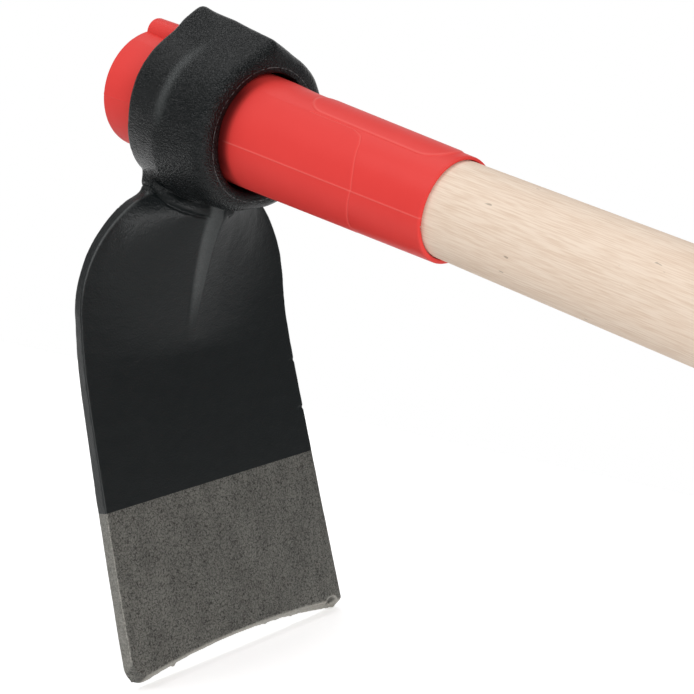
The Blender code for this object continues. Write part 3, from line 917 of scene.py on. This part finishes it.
def make_sleeve():
    bm = turned(sleeve_profile(), SLEEVE_STEPS)
    verts = list(bm.verts)
    points = np.array([vert.co for vert in verts])
    along = points[:, 0]
    radius = np.hypot(points[:, 1], points[:, 2])
    around = crowded_angles(np.arctan2(points[:, 1], points[:, 2]))
    outside = radius > sleeve_radius(along) - FACE_GAP
    radius += np.where(outside, sleeve_relief(along, around), 0.0)
    # a torn film of plastic at the rim, low on the camera's side
    torn = bell(np.degrees(around) + RIM_TEAR_ANGLE, 9.0)
    rim = (along > SLEEVE_NEAR - 0.0004) & (radius < HANDLE_RADIUS + 0.0012)
    ragged = np.abs(waviness(points, 0.0011, 9))
    along = along - np.where(rim, RIM_TEAR * torn * ragged, 0.0)
    for vert, x, turn, reach in zip(verts, along, around, radius):
        vert.co = (x, reach * math.sin(turn), reach * math.cos(turn))
    sleeve = add_piece("sleeve_moulding", bm, Matrix.Identity(4))
    key_front = EYE_BACK + KEY_FRONT_LENGTH
    block = key_block(SLEEVE_FAR + KEY_FAR_INSET, key_front, KEY_HALF_WIDTH, KEY_TOP)
    for vert in block.verts:
        if vert.co.x < EYE_BACK and vert.co.z > SLEEVE_FAR_RADIUS:
            vert.co.z -= KEY_SINK
    helper = add_piece("sleeve_key", block, Matrix.Identity(4))
    add_modifier(sleeve, "BOOLEAN", operation="UNION", object=helper, solver="EXACT")
    settle_modifiers(sleeve, [helper])
    points = coordinates(sleeve.data)
    along, around = points[:, 0], np.arctan2(points[:, 1], points[:, 2])
    add_layer(sleeve, "spark_eroded", in_rough_zone(along, around))
    # pale flash along the parting, and painted highlights on the zone line and the panel's edge
    add_layer(sleeve, "pale_line_and_highlight", pale_lines_and_highlights(along, around))
    radius = np.hypot(points[:, 1], points[:, 2])
    # painted shade on the sleeve beside the eye's mouth, where the eye shades it
    add_layer(sleeve, "painted_mouth_shade", painted_mouth_shade_places(along, around, radius))
    sleeve.data.transform(STANCE)
    return smooth_shaded(sleeve)


def make_handle():
    tip = SLEEVE_FAR + SLEEVE_CAP + FACE_GAP
    butt = tip + HANDLE_LENGTH
    profile = [
        (tip, 0.0),
        (tip, HANDLE_RADIUS - TIP_CHAMFER),
        (tip + TIP_CHAMFER, HANDLE_RADIUS),
    ]
    for ring in range(1, HANDLE_RINGS):
        along = tip + TIP_CHAMFER + (HANDLE_LENGTH - 0.01) * ring / HANDLE_RINGS
        profile.append((along, HANDLE_RADIUS))
    centre = (butt - BUTT_ROUNDING, HANDLE_RADIUS - BUTT_ROUNDING)
    profile += arc(centre, BUTT_ROUNDING, math.pi / 2, 0.0, 10)
    profile += [(butt, BUTT_INNER_RADIUS), (butt, 0.0)]
    return smooth_shaded(add_piece("handle_wood", turned(profile, TURNED_STEPS), STANCE))


# Materials


def linear(colour):
    """An sRGB hex colour as the linear colour that the shader takes."""
    channels = [int(colour[place : place + 2], 16) / 255 for place in (1, 3, 5)]
    return (*[c / 12.92 if c <= 0.04045 else ((c + 0.055) / 1.055) ** 2.4 for c in channels], 1.0)


def fill_inputs(tree, node, inputs):
    """Links each input that is given a socket, and sets the others. Text is a hex colour."""
    for name, value in inputs.items():
        if isinstance(value, bpy.types.NodeSocket):
            tree.links.new(value, node.inputs[name])
        else:
            node.inputs[name].default_value = linear(value) if isinstance(value, str) else value


def add_node(tree, kind, inputs=None, **settings):
    """Adds a node with its settings and inputs, and returns its outputs."""
    made = tree.nodes.new("ShaderNode" + kind)
    for name, value in settings.items():
        setattr(made, name, value)
    fill_inputs(tree, made, inputs or {})
    return made.outputs


def add_noise(tree, place, size, detail, roughness=0.5, distortion=0.0):
    """Noise from 0 to 1, with features of that size in the units of place."""
    inputs = {"Vector": place, "Scale": 1.0 / size, "Detail": detail}
    inputs.update({"Roughness": roughness, "Distortion": distortion})
    return add_node(tree, "TexNoise", inputs)["Fac"]


def add_range(tree, value, start, end, low=0.0, high=1.0):
    """Runs from low to high while value runs from start to end, and goes no further."""
    inputs = {"Value": value, "From Min": start, "From Max": end, "To Min": low, "To Max": high}
    return add_node(tree, "MapRange", inputs)["Result"]


def add_mix(tree, share, first, second, **settings):
    """The first colour where share is 0, running to the second where it is 1."""
    return add_node(tree, "Mix", {0: share, 6: first, 7: second}, data_type="RGBA", **settings)[2]


def add_math(tree, operation, *values):
    return add_node(tree, "Math", dict(enumerate(values)), operation=operation)[0]


def add_bumps(tree, height, distance, strength=1.0, over=None):
    """The normals of a surface with bumps that high, laid over other normals if those are given."""
    inputs = {"Height": height, "Distance": distance, "Strength": strength}
    if over is not None:
        inputs["Normal"] = over
    return add_node(tree, "Bump", inputs)["Normal"]


def read_layer(tree, name):
    """What add_layer stored on the piece."""
    return add_node(tree, "Attribute", attribute_name=name)["Fac"]


def new_material(name):
    made = bpy.data.materials.new(name)
    made.use_nodes = True
    return made, made.node_tree, made.node_tree.nodes["Principled BSDF"]


def handle_place(tree, unit=(1.0, 1.0, 1.0)):
    """Each point's place in the handle's own frame, counted in that unit along each axis."""
    inputs = {
        "Vector": add_node(tree, "TexCoord")["Object"],
        "Location": STANCE.to_translation(),
        "Rotation": (0.0, TILT, 0.0),
        "Scale": unit,
    }
    return add_node(tree, "Mapping", inputs, vector_type="TEXTURE")["Vector"]


# How deep the lacquer's grain shows, by height in the handle's own frame: (height, depth) where the
# deepening starts and ends. Below the bend the sheet was rolled flat.
PEEL_DEPTH = ((-0.040, 0.20), (-0.027, 1.0))
HAMMER_DEPTH = ((-0.125, 0.10), (-0.075, 0.6))
# where the painted highlight line lies on the burr round the eye's mouth
MOUTH_BURR_WIDTH = 0.0002  # to each side of its circle
MOUTH_BURR_DEPTH = 0.0012
MOUTH_BURR_SHIFT = (0.0, 0.0006, 0.0006)  # the burr isn't quite round the bore's axis


def black_lacquer():
    """Black stoving lacquer, dipped over rough forged steel.

    It gives a near black skin with a soft satin gloss. The scale and the blasting under it show
    through as a fine orange peel, and where the dip ran thin the black is a little greyer.
    Painted highlights in grey lie along the rib, the eye's ridge, the rims and the mouth's burr.
    """
    made, tree, shader = new_material("dipped_black_lacquer")
    place = add_node(tree, "TexCoord")["Object"]
    own_place = handle_place(tree)
    axes = add_node(tree, "SeparateXYZ", {0: own_place})
    patches = add_noise(tree, place, 0.014, 3.0)
    # real peel is about 0.4 mm across; drawn at 0.7 mm so that it shows
    peel = add_noise(tree, place, 0.0007, 1.0)
    slanted = {"Vector": own_place, "Rotation": (0.9, 0.3, 0.0), "Scale": (1.0, 0.55, 1.0)}
    hammered = add_node(tree, "Mapping", slanted)["Vector"]
    wrinkles = add_noise(tree, hammered, 0.0022, 2.0, distortion=0.8)
    depths = []
    for (low, least), (high, most) in (PEEL_DEPTH, HAMMER_DEPTH):
        depths.append(add_range(tree, axes["Z"], low, high, least, most))
    peel_depth, hammer_depth = depths
    # painted highlights in grey along the rib, the eye's ridge and the rims, broken up by the peel
    peel_breakup = add_range(tree, peel, 0.25, 0.65, 0.75)
    painted_highlight = add_math(tree, "MULTIPLY", read_layer(tree, "painted_highlight"), peel_breakup)
    # a painted highlight along the burr round the eye's mouth: a thin broken grey line
    from_axis = add_node(
        tree, "VectorMath", {0: own_place, 1: MOUTH_BURR_SHIFT}, operation="ADD"
    )["Vector"]
    from_axis = add_node(
        tree, "VectorMath", {0: from_axis, 1: (0.0, 1.0, 1.0)}, operation="MULTIPLY"
    )["Vector"]
    radius = add_node(tree, "VectorMath", {0: from_axis}, operation="LENGTH")["Value"]
    burr = add_math(tree, "COMPARE", radius, MOUTH_BURR_RADIUS, MOUTH_BURR_WIDTH)
    at_face = add_math(tree, "GREATER_THAN", axes["X"], -MOUTH_BURR_DEPTH)
    broken = add_range(tree, add_noise(tree, place, 0.0013, 1.0), 0.42, 0.62)
    for share in (at_face, broken):
        burr = add_math(tree, "MULTIPLY", burr, share)
    colour = add_mix(tree, patches, "#06090a", "#101415")
    # it lies thick and glossy on the eye, and thin, greyer and duller on the sheet
    colour = add_mix(tree, peel_depth, "#131718", colour)
    # both greys are painted highlights
    for share, tone in ((painted_highlight, "#505353"), (burr, "#565858")):
        colour = add_mix(tree, share, colour, tone)
    dullness = add_range(tree, peel_depth, PEEL_DEPTH[0][1], PEEL_DEPTH[1][1], 0.32, 0.06)
    roughness = add_math(tree, "MULTIPLY_ADD", patches, 0.14, dullness)
    fine = add_bumps(tree, peel, 0.0007, peel_depth)
    coarse = add_bumps(tree, wrinkles, 0.00035, hammer_depth, fine)
    finish = {"Base Color": colour, "Roughness": roughness, "Normal": coarse}
    fill_inputs(tree, shader, {**finish, "IOR": 1.5, "Specular IOR Level": 0.27})
    return made


def blasted_steel():
    """Carbon steel, shot-blasted after forging and left bare.

    It gives a dull dark grey with a fine, slightly sparkling grain of small craters.
    """
    made, tree, shader = new_material("shot_blasted_steel")
    place = add_node(tree, "TexCoord")["Object"]
    # shot leaves craters of about 0.3 mm; drawn at 0.8 mm so that they show
    craters = add_noise(tree, place, 0.0008, 2.0, roughness=0.6)
    # the forging's scale left wandering furrows between low pebbles, 1 to 2 mm apart
    swells = add_noise(tree, place, 0.0015, 1.0, distortion=0.3)
    furrows = add_math(tree, "ABSOLUTE", add_math(tree, "SUBTRACT", swells, 0.5))
    pebbles = add_range(tree, furrows, 0.0, 0.07)
    pitted = add_range(tree, craters, 0.32, 0.68)
    grain = add_node(tree, "Mix", {0: 0.5, 2: pitted, 3: pebbles}, data_type="FLOAT")[0]
    # rolling and grinding left soft darker streaks down the blade
    drawn_out = {"Rotation": (0.0, BLADE_LEAN, 0.0), "Scale": (1.0, 1.0, 0.12)}
    down_blade = add_node(tree, "Mapping", {"Vector": handle_place(tree), **drawn_out})["Vector"]
    streaks = add_range(tree, add_noise(tree, down_blade, 0.009, 3.0), 0.32, 0.62, 0.78)
    spotted = add_mix(tree, grain, "#262624", "#898882")
    spotted = add_mix(tree, 1.0, spotted, streaks, blend_type="MULTIPLY")
    # bright fresh-cut steel, made lighter still as painted light on the downward cut face
    cut = add_mix(tree, craters, "#918f88", "#dcd9d1")
    colour = add_mix(tree, read_layer(tree, "sheared"), spotted, cut)
    roughness = add_range(tree, grain, 0.0, 1.0, 0.62, 0.46)
    bumps = add_bumps(tree, grain, 0.00009)
    finish = {"Base Color": colour, "Roughness": roughness, "Normal": bumps}
    fill_inputs(tree, shader, {**finish, "Metallic": 0.75})
    return made


def moulded_plastic():
    """Red polypropylene, injection moulded in a spark-eroded mould.

    It gives an even, slightly waxy red. The fine erosion grain spreads the highlights, most beside
    the eye, and the panel and the far end come out of a smoother part of the mould.
    """
    made, tree, shader = new_material("moulded_red_polypropylene")
    place = add_node(tree, "TexCoord")["Object"]
    colour = add_mix(tree, add_noise(tree, place, 0.022, 2.0), "#dd3e3a", "#e4443f")
    # pale mould lines, partly painted highlights, then painted shade beside the eye's mouth
    for layer, tone in (("pale_line_and_highlight", "#f4827a"), ("painted_mouth_shade", "#33080a")):
        colour = add_mix(tree, read_layer(tree, layer), colour, tone)
    eroded = read_layer(tree, "spark_eroded")
    roughness = add_range(tree, eroded, 0.0, 1.0, 0.40, 0.50)
    # erosion grain is about 0.15 mm; drawn at 0.5 mm so that it shows
    grain = add_noise(tree, place, 0.0005, 2.0, roughness=0.6)
    bumps = add_bumps(tree, grain, 0.00004, add_range(tree, eroded, 0.0, 1.0, 0.25))
    finish = {"Base Color": colour, "Roughness": roughness, "Normal": bumps}
    fill_inputs(tree, shader, {**finish, "IOR": 1.49, "Specular IOR Level": 0.15})
    return made


BEECH_GRAINS = (  # (length, width) in metres of a feature, and how fine the noise goes
    (0.011, 0.0005, 3.0),  # pores
    (0.220, 0.0035, 3.0),  # bands of the year rings
    (0.0045, 0.0016, 0.0),  # flecks
)


def sanded_beech():
    """Beech, turned and sanded, unvarnished.

    It gives a pale, even, dry surface with fine straight pores along the handle, soft bands of the
    year rings between them and a few darker flecks.
    """
    made, tree, shader = new_material("sanded_beech")
    grains = []
    for length, width, detail in BEECH_GRAINS:
        grains.append(add_noise(tree, handle_place(tree, (length, width, width)), 1.0, detail))
    pores, bands, flecks = grains
    colour = add_mix(tree, bands, "#e6d0bb", "#f0dfcd")
    pore_streaks = add_range(tree, pores, 0.33, 0.6, 0.55, 0.0)
    dark_flecks = add_range(tree, flecks, 0.84, 0.87, 0.0, 0.55)
    for share, tone in ((pore_streaks, "#cfb197"), (dark_flecks, "#7d6a58")):
        colour = add_mix(tree, share, colour, tone)
    bumps = add_bumps(tree, pores, 0.00004)
    fill_inputs(tree, shader, {"Base Color": colour, "Roughness": 0.62, "Normal": bumps})
    return made


# Studio

# The table is small, so that the lacquer also reflects the dim room beyond it
TABLE_HALF_SIZE = (1.15, 0.56)
TABLE_CENTRE = Vector((-0.45, -0.24, 0.0))
TABLE_GLOW = 0.42
ROOM_LIGHT = 0.50
MIRRORED_ROOM = 0.26
MIRRORED_PAPER = 0.90
PAPER_DIRECTION = Vector((-0.66, 0.70, -0.20)).normalized()
PAPER_FADE = (0.60, 0.95)  # cosines of the angle from its middle where it starts and is full
SOFTBOXES = (  # (name, direction, degrees wide as the hoe sees it, strength)
    ("softbox_left", (-0.25, -0.60, 0.76), 30.0, 0.68),
    ("softbox_top", (-0.30, 0.10, 0.95), 40.0, 0.65),
    ("softbox_right", (0.84, -0.50, 0.18), 36.0, 1.4),
)
# The photograph's camera in the handle's own frame, from the fit to the sleeve, eye and blade
CAMERA_PLACE = Vector((0.443306, -0.452115, 0.160883))
CAMERA_TURN = (68.355364, -8.582532, 43.605099)  # degrees
CAMERA_LENS = 82.0914
CAMERA_FILM = 36.0


def seen_directly(tree):
    """1 on the rays that come from the camera, also through glass, and 0 on the others."""
    path = add_node(tree, "LightPath")
    return add_math(tree, "MAXIMUM", path["Is Camera Ray"], path["Is Transmission Ray"])


def pale_floor():
    """A matt white studio table. The camera sees it a little brighter than it is lit."""
    made, tree, shader = new_material("studio_table")
    finish = {"Base Color": "#f8f8f8", "Roughness": 1.0, "Specular IOR Level": 0.0}
    fill_inputs(tree, shader, finish)
    glow = add_node(tree, "Emission", {"Color": "#ffffff", "Strength": TABLE_GLOW})[0]
    lifted = add_node(tree, "AddShader", {0: shader.outputs[0], 1: glow})[0]
    shaders = {0: seen_directly(tree), 1: shader.outputs[0], 2: lifted}
    surface = add_node(tree, "MixShader", shaders)[0]
    fill_inputs(tree, tree.nodes["Material Output"], {"Surface": surface})
    return made


def add_floor():
    bm = bmesh.new()
    bmesh.ops.create_grid(bm, x_segments=1, y_segments=1, size=1.0)
    place = Matrix.Translation(TABLE_CENTRE) @ Matrix.Diagonal((*TABLE_HALF_SIZE, 1.0, 1.0))
    floor = add_piece("studio_floor", bm, place)
    if floor.data.polygons[0].normal.z < 0.0:
        floor.data.flip_normals()
    floor.data.materials.append(pale_floor())


def add_softbox(name, direction, degrees, strength):
    """A big soft lamp far away in that direction."""
    light = bpy.data.lights.new(name, "SUN")
    light.angle = math.radians(degrees)
    light.energy = strength
    made = add_object(name, light)
    made.rotation_euler = Vector(direction).to_track_quat("Z", "Y").to_euler()


def light_world():
    """An even white room for the hoe and the camera, and a dim one for reflections.

    The dim room keeps black black. The white paper behind the hoe is mirrored there too, and
    brightens the hoe's outline.
    """
    world = bpy.data.worlds.new("studio_world")
    bpy.context.scene.world = world
    world.use_nodes = True
    tree = world.node_tree
    direction = add_node(tree, "TexCoord")["Generated"]
    facing = add_node(
        tree, "VectorMath", {0: direction, 1: PAPER_DIRECTION}, operation="DOT_PRODUCT"
    )["Value"]
    mirrored = add_range(tree, facing, *PAPER_FADE, MIRRORED_ROOM, MIRRORED_PAPER)
    glossy = add_node(tree, "LightPath")["Is Glossy Ray"]
    room = add_range(tree, glossy, 0.0, 1.0, ROOM_LIGHT, mirrored)
    strength = add_range(tree, seen_directly(tree), 0.0, 1.0, room)
    fill_inputs(tree, tree.nodes["Background"], {"Color": "#ffffff", "Strength": strength})


def add_camera():
    camera = bpy.data.cameras.new("photo_camera")
    camera.sensor_width = CAMERA_FILM
    camera.lens = CAMERA_LENS
    camera.clip_start = 0.01
    camera.clip_end = 200.0
    made = add_object("photo_camera", camera)
    turn = Euler([math.radians(angle) for angle in CAMERA_TURN])
    made.matrix_world = STANCE @ Matrix.LocRotScale(CAMERA_PLACE, turn, None)
    bpy.context.scene.camera = made


# The scene

head = make_head()
head.data.materials.append(black_lacquer())
head.data.materials.append(blasted_steel())
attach(head, "head")
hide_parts("forged_head")

sleeve = make_sleeve()
sleeve.data.materials.append(moulded_plastic())
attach(sleeve, "handle_with_sleeve")
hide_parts("eye_sleeve")

handle = make_handle()
handle.data.materials.append(sanded_beech())
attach(handle, "handle_with_sleeve")
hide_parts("handle")

add_floor()
light_world()
for softbox in SOFTBOXES:
    add_softbox(*softbox)
add_camera()
bpy.context.scene.view_settings.view_transform = "Standard"
